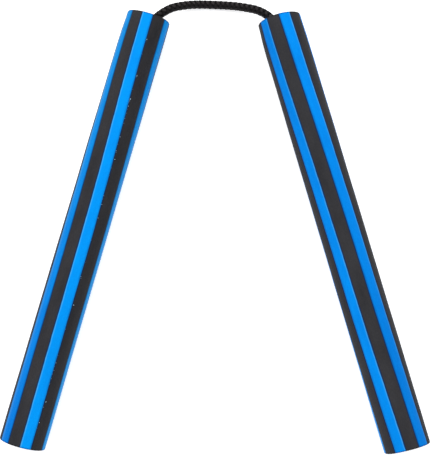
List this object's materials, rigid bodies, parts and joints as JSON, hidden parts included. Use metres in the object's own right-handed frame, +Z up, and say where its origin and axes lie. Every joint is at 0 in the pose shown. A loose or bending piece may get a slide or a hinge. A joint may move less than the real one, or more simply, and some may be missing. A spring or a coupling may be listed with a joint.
{
  "type": "foam practice nunchaku",
  "caption": "Foam-padded practice sticks joined end to end by a short braided cord, striped blue and black along their length, with a plastic tube inside each.",
  "frame": {"origin": "centre of the footprint of the two sticks, on the surface that they lie on", "axes": "+Z up from that surface, +Y towards the cord end, +X from the left stick to the right stick"},
  "size_m": [0.2886, 0.3166, 0.0315],
  "materials": {
    "blue_foam": "matte closed-cell foam, bright blue",
    "black_foam": "matte closed-cell foam, charcoal black",
    "cord": "braided polyester cord, black",
    "black_plastic": "moulded ABS, fine texture",
    "tube_plastic": "extruded PVC tube",
    "washer_steel": "zinc plated"
  },
  "bodies": {
    "cord": {"cord_span": "cord"},
    "left_knot": {"left_cord_tail": "cord", "left_stopper_knot": "cord", "left_washer": "washer_steel"},
    "right_knot": {"right_cord_tail": "cord", "right_stopper_knot": "cord", "right_washer": "washer_steel"},
    "left_stick": {"left_blue_strip_1": "blue_foam", "left_blue_strip_2": "blue_foam", "left_blue_strip_3": "blue_foam", "left_blue_strip_4": "blue_foam", "left_blue_strip_5": "blue_foam", "left_blue_strip_6": "blue_foam", "left_black_strip_1": "black_foam", "left_black_strip_2": "black_foam", "left_black_strip_3": "black_foam", "left_black_strip_4": "black_foam", "left_black_strip_5": "black_foam", "left_black_strip_6": "black_foam", "left_core_tube": "tube_plastic", "left_cord_guide": "black_plastic", "left_end_cap": "black_plastic"},
    "right_stick": {"right_blue_strip_1": "blue_foam", "right_blue_strip_2": "blue_foam", "right_blue_strip_3": "blue_foam", "right_blue_strip_4": "blue_foam", "right_blue_strip_5": "blue_foam", "right_blue_strip_6": "blue_foam", "right_black_strip_1": "black_foam", "right_black_strip_2": "black_foam", "right_black_strip_3": "black_foam", "right_black_strip_4": "black_foam", "right_black_strip_5": "black_foam", "right_black_strip_6": "black_foam", "right_core_tube": "tube_plastic", "right_cord_guide": "black_plastic", "right_end_cap": "black_plastic"}
  },
  "joints": [
    {"name": "left_swing", "type": "hinge", "parent": "cord", "child": "left_knot", "pos_m": [-0.04578, 0.14868, 0.01498], "axis": [0, 0, 1], "range_deg": [-112, 21.2], "deforming": ["cord_span"]},
    {"name": "left_spin", "type": "hinge", "parent": "left_knot", "child": "left_stick", "pos_m": [-0.0518, 0.14722, 0.01575], "axis": [0.2534, 0.9674, 0], "continuous": true},
    {"name": "right_swing", "type": "hinge", "parent": "cord", "child": "right_knot", "pos_m": [0.03594, 0.14764, 0.01498], "axis": [0, 0, -1], "range_deg": [-112, 21.2], "deforming": ["cord_span"]},
    {"name": "right_spin", "type": "hinge", "parent": "right_knot", "child": "right_stick", "pos_m": [0.0402, 0.14722, 0.01575], "axis": [-0.292, 0.9564, 0], "continuous": true}
  ]
}
